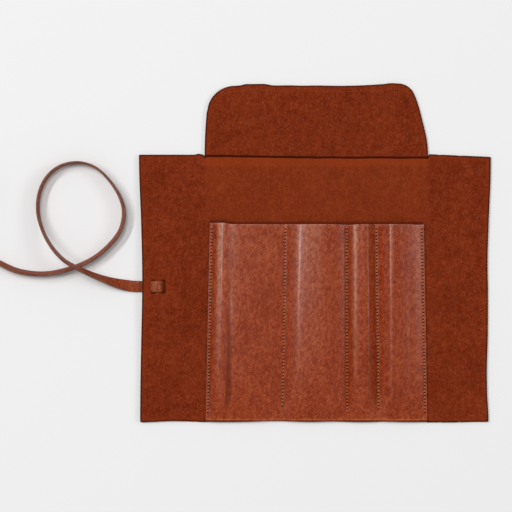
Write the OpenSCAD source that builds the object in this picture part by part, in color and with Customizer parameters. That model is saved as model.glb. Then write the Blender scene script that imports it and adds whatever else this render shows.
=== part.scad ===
// Leather roll-up pencil case, lying open with its flesh side up.
// One hide makes the back, both wings, the flap and the pocket front. The
// hide bends along straight fold lines, so it is drawn as flat panels that
// meet at those lines. A long flat strap is woven through two slits in the
// left wing and ties round the case when it is rolled up.
// Millimetres. X runs across the case, Y towards the flap, Z up.

/* [Hide] */
// Width of the open hide across both wings
hide_w = 314; // [308:1:320]
// Length from the pocket fold to the top of the flap
hide_l = 303.4; // [296:0.2:310]
// Thickness of the leather
leather = 1.8; // [1.5:0.1:1.8]
// Length of the flap above its crease
flap_l = 64.7; // [60:0.1:66]
// Radius of the flap's left corner
flap_left_r = 24.5; // [16:0.5:30]
// Radius of the flap's right corner
flap_right_r = 15.6; // [10:0.1:20]
// Radius of the flap's right side, which bows in towards that corner
flap_bow_r = 130; // [120:1:200]

/* [Pockets] */
// Distance from the pocket fold up to the pocket mouths
pocket_l = 178.9; // [160:0.1:184]
// Free height inside a pocket
pocket_h = 8.2; // [6:0.1:8.2]
// Width of pocket 1 between its seams
pocket_1_w = 66.7; // [62:0.1:68]
// Width of pocket 2 between its seams
pocket_2_w = 56.8; // [54:0.1:58]
// Width of pocket 3 between its seams
pocket_3_w = 27.5; // [27:0.1:30]
// Width of pocket 4 between its seams
pocket_4_w = 41.3; // [38:0.1:42]
// Length of one stitch and the space after it
stitch_pitch = 3; // [2.5:0.1:4]

/* [Folding] */
// Angle that the flap turns to lie on the pockets
flap_turn = 170; // [160:1:170]
// Angle between pockets 1 and 2 when rolled up
roll_turn_1 = 85; // [70:1:85]
// Angle between the later pockets when rolled up
roll_turn_2 = 75; // [60:1:75]
// Gap between two panels at a fold line
fold_gap = 0.3; // [0.2:0.1:0.4]

/* [Strap] */
// Width of the strap
strap_w = 10; // [8:0.5:10]
// Thickness of the strap
strap_t = 2.2; // [1.8:0.1:2.2]
// Distance between the two slits in the left wing
slit_pitch = 9.9; // [8:0.1:11]
// Length of each slit
slit_l = 12.5; // [11:0.5:14]

/* [Hidden] */

SUEDE = [0.45, 0.19, 0.10];
GRAIN = [0.58, 0.28, 0.18];
THREAD = [0.62, 0.36, 0.22];
STRAP = [0.60, 0.26, 0.14];

// Places along Y
fold_y = -hide_l / 2;
crease_y = hide_l / 2 - flap_l;
mouth_y = fold_y + pocket_l;
g = fold_gap / 2;

// Seams, counted from the left: where each lies halfway down, and how far it
// leans to the right between the mouth and the fold
first_seam = -94.2;
widths = [pocket_1_w, pocket_2_w, pocket_3_w, pocket_4_w];
SEAM_LEAN = [-3.9, -3, 0.5, 2.5, 3.1];
function seam_mid(k) = k == 0 ? first_seam : seam_mid(k - 1) + widths[k - 1];
function seam_x(k, t) = seam_mid(k) + SEAM_LEAN[k] * (t - 0.5);

// Fold lines: one beside each inner seam, and one outside each outer seam
seam_to_fold = 4.2;
seam_to_wing = 5.9;
panel_x = [
    seam_mid(0) - seam_to_wing,
    seam_mid(1) + seam_to_fold,
    seam_mid(2) + seam_to_fold,
    seam_mid(3) + seam_to_fold,
    seam_mid(4) + seam_to_wing
];
left_inner_w = 14;
left_fold = panel_x[0] - left_inner_w;
right_step = (hide_w / 2 - panel_x[4]) / 3;

// Pocket fronts
front_end = 1.7;      // from a fold line to the edge of the flat land beside it
front_land = 1;       // land left of a pocket that starts at a fold line
seam_margin = 2;      // leather outside a seam
seam_foot = 0.8;      // from an outer seam to the foot of the pocket's side
taper_l = 17.7;       // length over which a pocket thins towards the fold
fold_rise = 1.4;      // height left inside at the fold
SIDE_RUN_LEFT = [1, 1, 0.8, 0.8];
side_run_right = 0.6;

// Stitches and the grooves they lie in on the outer face
stitch_l = 2.2;
stitch_w = 0.8;
stitch_t = 0.5;
groove_w = 1.2;
groove_d = 0.6;
stitch_count = floor((pocket_l - 5) / stitch_pitch);

// Wing lift over the strap, and the strap's weave
wing_lift = strap_t + 0.2;
lift_run = 6.8;
slit_w = strap_t + 0.4;
slit_left = -147.2;
slit_y = -29.5;
anchor_w = 15;
anchor_l = 15;

// Route of the strap from the wing's left edge: x, y and z of its middle, and
// its tilt, 0 lying flat and 90 standing on edge
STRAP_ROUTE = [
    [-157, -29.5, 1.1, 0], [-166, -29, 1.85, 8], [-178, -26.5, 4.3, 40],
    [-190, -22.5, 8.8, 62], [-203, -17, 14, 74], [-215.5, -11, 16.4, 80],
    [-226, -4, 15.4, 85], [-236, 7, 12, 88], [-244, 21, 8, 90],
    [-248.5, 37, 5.6, 90], [-247.5, 54, 5.1, 90], [-240.5, 69, 5.1, 90],
    [-228, 79, 5.1, 90], [-212, 82, 5.1, 90], [-197, 77.5, 5.1, 89],
    [-185, 66.5, 5.1, 86], [-175.5, 52, 5.2, 80], [-171.5, 38, 5.2, 75],
    [-174, 22.5, 5.2, 72], [-182.5, 10, 5.2, 72], [-195, -1.5, 5.2, 72],
    [-209, -9.5, 5.2, 72], [-225, -15, 5.2, 72], [-241, -18, 5.2, 72],
    [-256, -17.5, 5.2, 72], [-270, -14.5, 5.2, 72], [-284, -8, 5.2, 74],
    [-298, -0.5, 5.2, 80], [-312, 7.5, 5.1, 86], [-327, 16, 5.1, 90],
    [-341.5, 24.5, 5.1, 90]
];
coil_x = -325;
coil_y = 54;
coil_r = 35.4;
coil_hole_r = 23.4;
coil_h = strap_w + 0.3;

function ramp(a, b, c, d, u) =
    0.5 * (2 * b + (c - a) * u + (2 * a - 5 * b + 4 * c - d) * u * u
           + (3 * b - a - 3 * c + d) * u * u * u);

function smooth_route(p, steps) = [
    for (i = [0 : len(p) - 2], k = [0 : steps - 1])
        ramp(p[max(i - 1, 0)], p[i], p[i + 1], p[min(i + 2, len(p) - 1)], k / steps),
    p[len(p) - 1]
];

// Ring of the strap's section round one point of its route
function strap_ring(p, heading) =
    let (
        left = [-heading.y, heading.x, 0],
        wide = cos(p[3]) * left + sin(p[3]) * [0, 0, 1],
        thick = cos(p[3]) * [0, 0, 1] - sin(p[3]) * left,
        w = strap_w / 2,
        t = strap_t / 2
    )
    [for (c = [[w, 0.5 * t], [w - 0.5, t], [0.5 - w, t], [-w, 0.5 * t],
               [-w, -0.5 * t], [0.5 - w, -t], [w - 0.5, -t], [w, -0.5 * t]])
        [p.x, p.y, p.z] + c[0] * wide + c[1] * thick];

function flat_heading(a, b) =
    let (d = [b.x - a.x, b.y - a.y]) d / norm(d);

// Closed solid through rings that hold the same number of points
module loft(rings) {
    n = len(rings[0]);
    last = (len(rings) - 1) * n;
    sides = [
        for (r = [0 : len(rings) - 2], i = [0 : n - 1], half = [0, 1])
            let (
                a = r * n + i,
                b = r * n + (i + 1) % n
            )
            half == 0 ? [a, b, b + n] : [a, b + n, a + n]
    ];
    first_cap = [for (i = [n - 1 : -1 : 0]) i];
    last_cap = [for (i = [0 : n - 1]) last + i];
    polyhedron(points = [for (r = rings) for (q = r) q], faces = concat(sides, [first_cap, last_cap]));
}

// Flat piece of hide between two fold lines
module panel(x0, x1, y0, y1) {
    translate([x0, y0, 0])
        cube([x1 - x0, y1 - y0, leather]);
}

// Bar that lies along a seam, from the fold towards the mouth
module along_seam(k, from_y, bar) {
    lean = atan(SEAM_LEAN[k] / pocket_l);
    translate([seam_x(k, 1), fold_y, 0])
        rotate(lean)
            translate([-bar.x / 2, from_y, 0])
                cube(bar);
}

// Back of pocket n, with a groove under each seam that lies on it
module back_panel(n) {
    seams = n == 1 ? [0, 1] : [n];
    color(SUEDE)
        difference() {
            panel(panel_x[n - 1] + g, panel_x[n] - g, fold_y, crease_y - g);
            for (k = seams)
                translate([0, 0, groove_d - leather])
                    along_seam(k, 1, [groove_w, pocket_l - 2, leather]);
        }
}

module left_wing_inner() {
    color(SUEDE) panel(left_fold + g, panel_x[0] - g, fold_y, crease_y);
}

// The outer left wing rides up over the strap, which passes through its slits
module left_wing_outer() {
    x0 = -hide_w / 2;
    x1 = left_fold - g;
    color(SUEDE)
        difference() {
            translate([0, crease_y, 0])
                rotate([90, 0, 0])
                    linear_extrude(crease_y - fold_y)
                        polygon([
                            [x0, wing_lift], [x1 - lift_run, wing_lift], [x1, 0], [x1, leather],
                            [x1 - lift_run, wing_lift + leather], [x0, wing_lift + leather]
                        ]);
            for (i = [0, 1])
                translate([slit_left + i * slit_pitch - slit_w / 2, slit_y - slit_l / 2, 0])
                    cube([slit_w, slit_l, wing_lift + leather + 1]);
        }
}

module right_wing(i) {
    x0 = panel_x[4] + i * right_step + g;
    x1 = panel_x[4] + (i + 1) * right_step - (i == 2 ? 0 : g);
    color(SUEDE) panel(x0, x1, fold_y, crease_y);
}

// Edges of front n at t along its length: outer left, left foot, right foot, outer right
function front_x(n, t) =
    let (
        x0 = n == 1 ? seam_x(0, t) - seam_margin : panel_x[n - 1] + front_end,
        x3 = n == 4 ? seam_x(4, t) + seam_margin : panel_x[n] - front_end
    )
    [
        x0,
        n == 1 ? seam_x(0, t) + seam_foot : x0 + front_land,
        n == 4 ? seam_x(4, t) - seam_foot : seam_x(n, t) - seam_margin,
        x3
    ];

function front_t(y) = (mouth_y - y) / pocket_l;

function outer_ring(n, y, rise) =
    let (
        x = front_x(n, front_t(y)),
        left = x[1] + rise * SIDE_RUN_LEFT[n - 1],
        right = x[2] - rise * side_run_right,
        top = 2 * leather
    )
    [
        [x[0], y, leather], [x[0], y, top], [x[1], y, top], [left, y, top + rise],
        [right, y, top + rise], [x[2], y, top], [x[3], y, top], [x[3], y, leather]
    ];

// The hollow runs below the front's underside so that the back closes it
function hollow_ring(n, y, rise) =
    let (
        x = front_x(n, front_t(y)),
        a = SIDE_RUN_LEFT[n - 1],
        b = side_run_right,
        left = x[1] + leather * (sqrt(1 + a * a) - a),
        right = x[2] - leather * (sqrt(1 + b * b) - b)
    )
    [
        [left, y, leather - 1], [left, y, leather], [left + a * rise, y, leather + rise],
        [right - b * rise, y, leather + rise], [right, y, leather], [right, y, leather - 1]
    ];

// Front of pocket n, closed at the bottom where the hide folds over
module pocket_front(n) {
    color(GRAIN)
        difference() {
            loft([
                outer_ring(n, mouth_y, pocket_h),
                outer_ring(n, fold_y + taper_l, pocket_h),
                outer_ring(n, fold_y, fold_rise)
            ]);
            loft([
                hollow_ring(n, mouth_y + 1, pocket_h),
                hollow_ring(n, fold_y + taper_l, pocket_h),
                hollow_ring(n, fold_y + leather, fold_rise)
            ]);
        }
}

function arc(c, r, from, to) =
    [for (i = [0 : 12]) c + r * [cos(from + (to - from) * i / 12), sin(from + (to - from) * i / 12)]];

// Outline of the whole flap
flap_x0 = panel_x[0] + 2;
flap_x1 = panel_x[4] - 1.8;
flap_top = hide_l / 2;
bow_c = [flap_x1 - flap_bow_r, crease_y];
bow_rise = flap_l - flap_right_r;
bow_run = sqrt(pow(flap_bow_r - flap_right_r, 2) - pow(bow_rise, 2));
bow_end = atan2(bow_rise, bow_run);
flap_outline = concat(
    [[flap_x0, crease_y + g]],
    arc(bow_c, flap_bow_r, asin(g / flap_bow_r), bow_end),
    arc(bow_c + [bow_run, bow_rise], flap_right_r, bow_end, 90),
    arc([flap_x0 + flap_left_r, flap_top - flap_left_r], flap_left_r, 90, 180)
);

// Room that a flap panel leaves at a fold line, at distance d from the crease,
// so that the folded flap clears its neighbour when the case is rolled up
function flap_room(turn, d) =
    (leather * cos(180 - flap_turn) + d * sin(180 - flap_turn)) * tan(turn / 2) + fold_gap;

module flap_panel(n) {
    x0 = panel_x[n - 1];
    x1 = panel_x[n];
    turn_left = n == 1 ? 0 : (n == 2 ? roll_turn_1 : roll_turn_2);
    turn_right = n == 4 ? 0 : (n == 1 ? roll_turn_1 : roll_turn_2);
    color(SUEDE)
        linear_extrude(leather)
            intersection() {
                polygon(flap_outline);
                polygon([
                    [x0 + flap_room(turn_left, 0), crease_y],
                    [x1 - flap_room(turn_right, 0), crease_y],
                    [x1 - flap_room(turn_right, flap_l), flap_top],
                    [x0 + flap_room(turn_left, flap_l), flap_top]
                ]);
            }
}

// Stitches of seam k on the pocket fronts, and in the groove on the outer face
module seam_thread(k) {
    color(THREAD)
        for (i = [0 : stitch_count - 1], z = [2 * leather, groove_d - stitch_t])
            translate([0, 0, z])
                along_seam(k - 1, 3 + i * stitch_pitch, [stitch_w, stitch_l, stitch_t]);
}

// Strap end: spade-shaped anchor, up through a slit, over the bridge, down the
// other slit and out under the wing's edge
module strap_woven_end() {
    left_leg = slit_left - strap_t / 2;
    right_leg = left_leg + slit_pitch;
    bridge_z = wing_lift + leather;
    y0 = slit_y - strap_w / 2;
    tail_x = right_leg + strap_t;
    color(STRAP)
        union() {
            translate([-hide_w / 2, y0, 0])
                cube([left_leg + strap_t + hide_w / 2, strap_w, strap_t]);
            translate([left_leg, y0, 0])
                cube([strap_t, strap_w, bridge_z + strap_t]);
            translate([left_leg, y0, bridge_z])
                cube([slit_pitch + strap_t, strap_w, strap_t]);
            translate([right_leg, y0, 0])
                cube([strap_t, strap_w, bridge_z + strap_t]);
            translate([tail_x, slit_y, 0])
                linear_extrude(strap_t)
                    polygon([
                        [-1, -strap_w / 2], [4, -strap_w / 2], [9, -anchor_w / 2], [anchor_l - 3, -3],
                        [anchor_l, 0], [anchor_l - 3, 3], [9, anchor_w / 2], [4, strap_w / 2],
                        [-1, strap_w / 2]
                    ]);
        }
}

// The strap from the wing's edge round its loop to the start of its coil
module strap_free_run() {
    p = smooth_route(STRAP_ROUTE, 2);
    n = len(p);
    color(STRAP)
        loft([for (i = [0 : n - 1]) strap_ring(p[i], flat_heading(p[max(i - 1, 0)], p[min(i + 1, n - 1)]))]);
}

// Outer shape of the strap's last turns, coiled on edge
module strap_coil() {
    color(STRAP)
        translate([coil_x, coil_y, 0])
            rotate_extrude($fn = 64)
                translate([coil_hole_r, 0])
                    square([coil_r - coil_hole_r, coil_h]);
}

back_panel(1);  // back_panel_1
back_panel(2);  // back_panel_2
back_panel(3);  // back_panel_3
back_panel(4);  // back_panel_4
left_wing_inner();
left_wing_outer();
right_wing(0);  // right_wing_inner
right_wing(1);  // right_wing_middle
right_wing(2);  // right_wing_outer
pocket_front(1);  // pocket_front_1
pocket_front(2);  // pocket_front_2
pocket_front(3);  // pocket_front_3
pocket_front(4);  // pocket_front_4
flap_panel(1);  // flap_panel_1
flap_panel(2);  // flap_panel_2
flap_panel(3);  // flap_panel_3
flap_panel(4);  // flap_panel_4
seam_thread(1);  // seam_thread_1
seam_thread(2);  // seam_thread_2
seam_thread(3);  // seam_thread_3
seam_thread(4);  // seam_thread_4
seam_thread(5);  // seam_thread_5
strap_woven_end();
strap_free_run();
strap_coil();
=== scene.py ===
import math

import bpy
import numpy as np
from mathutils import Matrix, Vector
from mathutils.kdtree import KDTree


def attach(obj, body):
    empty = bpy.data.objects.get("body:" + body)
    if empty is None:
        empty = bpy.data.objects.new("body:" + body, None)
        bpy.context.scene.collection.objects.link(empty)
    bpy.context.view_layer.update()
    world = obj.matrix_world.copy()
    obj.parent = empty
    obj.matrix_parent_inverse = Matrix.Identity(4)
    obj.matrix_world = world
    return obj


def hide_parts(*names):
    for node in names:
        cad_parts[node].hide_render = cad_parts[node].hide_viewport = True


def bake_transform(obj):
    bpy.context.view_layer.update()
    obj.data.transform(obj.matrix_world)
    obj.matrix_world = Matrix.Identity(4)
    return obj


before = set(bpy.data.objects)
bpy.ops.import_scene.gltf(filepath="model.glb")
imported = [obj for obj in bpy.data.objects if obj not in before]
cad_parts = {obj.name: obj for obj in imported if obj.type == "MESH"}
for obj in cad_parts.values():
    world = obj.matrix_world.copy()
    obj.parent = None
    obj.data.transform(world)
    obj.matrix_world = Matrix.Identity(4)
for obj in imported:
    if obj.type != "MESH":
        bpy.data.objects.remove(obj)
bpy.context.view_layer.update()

MM = 0.001
UP = np.array([0.0, 0.0, 1.0])

# Sizes in millimetres, as in the part's source.
LEATHER = 1.8
HALF_WIDTH = 157.0
FOLD_Y = -151.7
CREASE_Y = 87.0
MOUTH_Y = 27.2
POCKET_L = MOUTH_Y - FOLD_Y
POCKET_H = 8.2
FOLD_RISE = 1.4
LAND_Z = 2 * LEATHER
SEAM_MID = [-94.2, -27.5, 29.3, 56.8, 98.1]
SEAM_LEAN = [-3.9, -3.0, 0.5, 2.5, 3.1]
FOLD_LINES = [-100.1, -23.3, 33.5, 61.0, 104.0]
LEFT_FOLD = -114.1
RIGHT_FOLDS = [104.0, 121.667, 139.333]
PANEL_MIDS = [-61.7, 5.1, 47.25, 82.5]
FLAP_LEFT = -98.1
FLAP_RIGHT = 102.2
FLAP_LEFT_R = 24.5
FLAP_RIGHT_R = 15.6
FLAP_LEFT_C = (-71.8, 127.2)
FLAP_RIGHT_C = (75.5, 136.1)
# The flap's right side bows in towards its corner, with this radius.
FLAP_BOW_R = 130.0
FLAP_BOW_TOP = 142.8
SLIT_X = (-147.2, -137.3)
SLIT_Y = -29.5
STRAP_W = 10.0
STRAP_T = 2.2
WING_LIFT = 2.4
STITCH_PITCH = 3.0
# The flap's fold line drops by this share of x, as far as CREASE_LEAN_END.
CREASE_LEAN = 0.0148
CREASE_LEAN_END = 10.0


def smooth(low, high, value):
    """0 below low, 1 above high, and a smooth step between them."""
    t = np.clip((value - low) / (high - low), 0, 1)
    return t * t * (3 - 2 * t)


def bell(value, place, half):
    """1 at place, fading out evenly on both sides of it."""
    return np.exp(-(((value - place) / half) ** 2))


def seam_x(k, y):
    """Where seam k stands across the hide at height y."""
    return SEAM_MID[k] + SEAM_LEAN[k] * ((MOUTH_Y - y) / POCKET_L - 0.5)


def add_object(name, data):
    """Puts a new object into the scene."""
    added = bpy.data.objects.new(name, data)
    bpy.context.scene.collection.objects.link(added)
    return added


# ---- camera

VIEW_CENTRE = (-0.05265, -0.002)
VIEW_WIDTH = 0.4608
# The picture is VIEW_WIDTH wide at this height over the floor.
VIEW_LEVEL = 0.004
LENS = 100
SENSOR = 36


def make_camera():
    data = bpy.data.cameras.new("camera")
    data.lens = LENS
    data.sensor_width = SENSOR
    data.clip_end = 20
    camera = add_object("camera", data)
    camera.location = (*VIEW_CENTRE, VIEW_WIDTH * LENS / SENSOR + VIEW_LEVEL)
    bpy.context.scene.camera = camera


# ---- materials


def new_material(name):
    material = bpy.data.materials.new(name)
    material.use_nodes = True
    tree = material.node_tree
    tree.nodes.clear()
    output = tree.nodes.new("ShaderNodeOutputMaterial")
    shader = tree.nodes.new("ShaderNodeBsdfPrincipled")
    tree.links.new(shader.outputs["BSDF"], output.inputs["Surface"])
    return material, tree, shader


# A node or a socket knows its own tree, as id_data, so these functions need no tree of their own.


def feed(socket, value):
    """Links an output to a socket, or sets the socket's own value."""
    if isinstance(value, bpy.types.NodeSocket):
        socket.id_data.links.new(value, socket)
    else:
        socket.default_value = value


def linked(node, output, inputs):
    """Sets or links a node's inputs, and gives back one of its outputs."""
    for key, value in inputs.items():
        feed(node.inputs[key], value)
    return node.outputs[output]


def attribute(tree, name, output="Fac"):
    n = tree.nodes.new("ShaderNodeAttribute")
    n.attribute_name = name
    return n.outputs[output]


def rest_place(tree):
    """Where the surface is at rest, so that a pattern stays put when a piece moves."""
    return attribute(tree, "rest", "Vector")


def stretched(vector, scale):
    n = vector.id_data.nodes.new("ShaderNodeMapping")
    return linked(n, "Vector", {"Vector": vector, "Scale": scale})


def turned(vector, degrees):
    n = vector.id_data.nodes.new("ShaderNodeMapping")
    return linked(n, "Vector", {"Vector": vector, "Rotation": (0, 0, math.radians(degrees))})


def noise(vector, scale, detail=3.0, rough=0.55, output="Fac"):
    n = vector.id_data.nodes.new("ShaderNodeTexNoise")
    inputs = {"Vector": vector, "Scale": scale, "Detail": detail, "Roughness": rough}
    return linked(n, output, inputs)


def cells(vector, scale, feature="SMOOTH_F1"):
    """Distance from the middles of soft round cells."""
    n = vector.id_data.nodes.new("ShaderNodeTexVoronoi")
    n.feature = feature
    return linked(n, "Distance", {"Vector": vector, "Scale": scale})


def cracks(vector, scale):
    """Distance from the lines between cells: fine creases of grain leather."""
    return cells(vector, scale, "DISTANCE_TO_EDGE")


def warped(vector, scale, amount):
    """The same place pushed about by noise, so that cells lose their straight sides."""
    push = noise(vector, scale, 2.0, 0.5, "Color")
    n = vector.id_data.nodes.new("ShaderNodeVectorMath")
    n.operation = "MULTIPLY_ADD"
    return linked(n, "Vector", {0: push, 1: (amount, amount, amount), 2: vector})


def math_node(operation, a, b=0.0):
    n = a.id_data.nodes.new("ShaderNodeMath")
    n.operation = operation
    return linked(n, 0, {0: a, 1: b})


def times(first, *others):
    for other in others:
        first = math_node("MULTIPLY", first, other)
    return first


def plus(first, *others):
    for other in others:
        first = math_node("ADD", first, other)
    return first


def ranged(value, low, high, to_low=0.0, to_high=1.0):
    """A smooth step from to_low, where value is low, to to_high."""
    n = value.id_data.nodes.new("ShaderNodeMapRange")
    n.interpolation_type = "SMOOTHSTEP"
    inputs = {"Value": value, "From Min": low, "From Max": high, "To Min": to_low, "To Max": to_high}
    return linked(n, "Result", inputs)


def ramp(value, stops):
    n = value.id_data.nodes.new("ShaderNodeValToRGB")
    elements = n.color_ramp.elements
    while len(elements) < len(stops):
        elements.new(0.5)
    for e, (place, colour) in zip(elements, stops):
        e.position = place
        e.color = (*colour, 1)
    return linked(n, "Color", {"Fac": value})


def mixed(share, below, colour):
    """The colour below, with its share of another colour laid over it."""
    n = below.id_data.nodes.new("ShaderNodeMix")
    n.data_type = "RGBA"
    return linked(n, 2, {0: share, 6: below, 7: (*colour, 1)})


def bump(height, distance, strength, below=None):
    n = height.id_data.nodes.new("ShaderNodeBump")
    inputs = {"Strength": strength, "Distance": distance, "Height": height}
    if below is not None:
        inputs["Normal"] = below
    return linked(n, "Normal", inputs)


def axis_of(vector, axis):
    n = vector.id_data.nodes.new("ShaderNodeSeparateXYZ")
    return linked(n, axis, {0: vector})


def dress(shader, colour, roughness, gloss):
    """Gives a shader its patterns of colour and roughness, and one gloss all over."""
    feed(shader.inputs["Base Color"], colour)
    feed(shader.inputs["Roughness"], roughness)
    shader.inputs["Specular IOR Level"].default_value = gloss


def line_mask(value, place, half, soft):
    """1 on a thin line where value is near place, in metres, fading out over soft."""
    away = math_node("ABSOLUTE", math_node("SUBTRACT", value, place))
    return ranged(away, half, half + soft, 1.0, 0.0)


def band(value, start, end):
    """1 between two soft ends, each given by its faint and its full side."""
    return times(ranged(value, *start), ranged(value, *end))


def darker(colour, share):
    return tuple(c * share for c in colour)


# Places on the hide, in metres, for its materials.
MOUTH_LINE = 0.0274
MOUTH_MIDDLE = 0.0021
MOUTH_HALF = 0.0958
UNDER_CREASE = (0.0880, 0.0868)
CREASE_LINE = 0.08755
FOLDED_EDGE = -0.1496


def suede_material():
    """Flesh side of the hide: a soft mottled nap, almost without gloss."""
    material, tree, shader = new_material("suede")
    rest = rest_place(tree)
    x, y = axis_of(rest, "X"), axis_of(rest, "Y")
    under_flap, rim = attribute(tree, "crease"), attribute(tree, "rim")
    blotch = noise(rest, 26, 3, 0.6)
    mottle = noise(stretched(rest, (1.0, 0.72, 1.0)), 230, 4, 0.68)
    nap = noise(rest, 980, 2, 0.7)
    fibre = noise(stretched(rest, (1.0, 0.8, 1.0)), 640, 3, 0.75)
    tone = plus(times(blotch, 0.24), times(mottle, 0.50), times(nap, 0.26))
    stops = [
        (0.36, (0.120, 0.0125, 0.0024)),
        (0.46, (0.162, 0.0195, 0.0040)),
        (0.54, (0.198, 0.0262, 0.0056)),
        (0.64, (0.255, 0.0385, 0.0096)),
    ]
    colour = ramp(tone, stops)
    colour = mixed(ranged(fibre, 0.50, 0.68, 0.0, 0.30), colour, (0.330, 0.0950, 0.0480))
    colour = mixed(ranged(fibre, 0.34, 0.47, 0.42, 0.0), colour, (0.090, 0.0085, 0.0016))
    edge_band = ranged(rim, 0.22, 0.60, 0.26, 0.0)
    colour = mixed(edge_band, colour, (0.250, 0.0340, 0.0066))
    above_mouth = times(band(y, (0.024, 0.034), UNDER_CREASE), under_flap, 0.30)
    colour = mixed(above_mouth, colour, (0.255, 0.0400, 0.0086))
    bent = times(band(y, (0.0765, 0.0815), (0.0878, 0.0866)), under_flap, 0.45)
    colour = mixed(bent, colour, (0.285, 0.0390, 0.0076))
    pressed = times(line_mask(rim, 0.50, 0.015, 0.05), ranged(y, 0.125, 0.135, 0.0, 0.22))
    colour = mixed(pressed, colour, (0.330, 0.0700, 0.0240))
    # Painted shade: a thin dark line along a faint upright dent near the right wing's fold.
    dent_shade = band(y, (0.064, 0.068), (0.0880, 0.0870))
    dent_shade = times(dent_shade, line_mask(x, 0.1018, 0.0004, 0.0006), 0.12)
    colour = mixed(dent_shade, colour, (0.050, 0.0060, 0.0016))
    cut_edge = ranged(rim, 0.04, 0.17, 0.82, 0.0)
    colour = mixed(cut_edge, colour, (0.048, 0.0070, 0.0024))
    # Painted shadow: a dark line on the back just above the pockets' mouths, a little higher at the left.
    mouth = math_node("SUBTRACT", y, ranged(x, -0.083, -0.074, 0.0014, 0.0))
    mouth = line_mask(mouth, MOUTH_LINE, 0.0009, 0.0012)
    beside = line_mask(x, MOUTH_MIDDLE, MOUTH_HALF, 0.0010)
    colour = mixed(times(mouth, beside, 0.55), colour, (0.060, 0.0058, 0.0014))
    # Painted shade in the flap's fold crease: a thin dark line that wanders a little and lies higher towards
    # the left.
    wander = times(noise(rest, 45, 2), 0.0014)
    lean = times(math_node("MINIMUM", x, CREASE_LEAN_END * MM), CREASE_LEAN)
    fold = line_mask(plus(y, wander, lean), CREASE_LINE, 0.00055, 0.0008)
    colour = mixed(times(fold, under_flap, 0.90), colour, (0.030, 0.0026, 0.0008))
    dress(shader, colour, ranged(mottle, 0.3, 0.7, 0.86, 0.97), 0.04)
    normal = bump(nap, 0.0004, 0.60)
    normal = bump(mottle, 0.0008, 0.50, normal)
    feed(shader.inputs["Normal"], normal)
    return material


def grain_material(name, dark, middle, light, sheen, rough=(0.30, 0.42), gloss=0.10, coat=0.40):
    """Grain side: creased pull-up leather, darker in its folds, with a soft uneven gloss, painted shade in
    its dips and at its bottom fold, and painted highlights and sheen.
    """
    material, tree, shader = new_material(name)
    rest = rest_place(tree)
    height = axis_of(rest, "Y")
    slanted = turned(rest, 14)
    wrinkles = noise(stretched(slanted, (1.5, 0.85, 1.5)), 270, 4, 0.68)
    cloud = noise(stretched(rest, (1.0, 0.7, 1.0)), 62, 3, 0.6)
    speck = noise(rest, 820, 3, 0.7)
    net = cracks(stretched(warped(slanted, 150, 0.006), (1.0, 0.62, 1.0)), 330)
    pores = cells(stretched(rest, (1.2, 0.8, 1.2)), 1250)
    tone = plus(times(wrinkles, 0.38), times(cloud, 0.20), times(speck, 0.42))
    colour = ramp(tone, [(0.43, dark), (0.50, middle), (0.57, light)])
    crack = times(ranged(net, 0.0, 0.10, 0.42, 0.0), ranged(cloud, 0.38, 0.62))
    colour = mixed(crack, colour, darker(dark, 0.55))
    pit = ranged(pores, 0.0, 0.28, 0.24, 0.0)
    colour = mixed(pit, colour, darker(dark, 0.5))
    # Painted sheen: pale pinkish patches, strongest towards the pockets' mouths and fading downwards.
    painted_sheen = noise(stretched(rest, (1.4, 0.8, 1.4)), 150, 3, 0.6)
    painted_sheen = ranged(painted_sheen, 0.50, 0.70, 0.0, sheen)
    painted_sheen = times(painted_sheen, ranged(height, -0.11, 0.02, 0.25, 1.0))
    colour = mixed(painted_sheen, colour, (0.430, 0.1120, 0.0500))
    # Wear and painted highlights and sheen, laid on as a pale colour and broken up by the wrinkles.
    worn = times(attribute(tree, "worn"), ranged(wrinkles, 0.38, 0.62, 0.45, 1.0))
    colour = mixed(worn, colour, (0.560, 0.2700, 0.1900))
    y = plus(height, times(cloud, -0.0012))
    # Painted shade on the lowest part of the front's bottom fold, where it turns under.
    fold_underside_shade = band(y, (-0.1502, -0.1512), (-0.153, -0.152))
    colour = mixed(fold_underside_shade, colour, darker(dark, 0.45))
    # Painted highlight: a pale orange line along the rounded bottom fold, broken up by the wrinkles.
    fold_highlight = line_mask(y, FOLDED_EDGE, 0.0003, 0.0007)
    fold_highlight = times(fold_highlight, ranged(wrinkles, 0.40, 0.60, 0.25, 0.80))
    colour = mixed(fold_highlight, colour, (0.520, 0.1150, 0.0170))
    # Painted shade in the pockets' dips between the things they hold; on the back's outer face it darkens
    # the flap's span.
    folds = ranged(attribute(tree, "crease"), 0.1, 1.0, 0.0, 0.72)
    colour = mixed(folds, colour, darker(dark, 0.62))
    # Darker within about a millimetre of the back's cut edges, and painted shade along the front's bottom
    # fold and where it turns under.
    rim = ranged(attribute(tree, "rim"), 0.02, 0.12, 0.40, 0.0)
    colour = mixed(rim, colour, darker(dark, 0.6))
    dress(shader, colour, ranged(cloud, 0.32, 0.66, *rough), gloss)
    shader.inputs["Coat Weight"].default_value = coat
    shader.inputs["Coat Roughness"].default_value = 0.19
    normal = bump(pores, 0.00022, 0.35)
    normal = bump(speck, 0.0003, 0.40, normal)
    normal = bump(ranged(net, 0.0, 0.14), 0.00030, 0.35, normal)
    normal = bump(wrinkles, 0.0010, 0.45, normal)
    feed(shader.inputs["Normal"], normal)
    return material


def edge_material(name, dark, light):
    """Cut edge of leather: fibres in layers, darkened by burnishing."""
    material, tree, shader = new_material(name)
    rest = rest_place(tree)
    fibres = noise(stretched(rest, (1.0, 1.0, 6.0)), 420, 4, 0.7)
    patches = noise(rest, 90, 2, 0.5)
    tone = plus(times(fibres, 0.6), times(patches, 0.4))
    colour = ramp(tone, [(0.36, dark), (0.64, light)])
    dress(shader, colour, ranged(patches, 0.3, 0.7, 0.55, 0.8), 0.12)
    feed(shader.inputs["Normal"], bump(fibres, 0.0003, 0.6))
    return material


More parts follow.
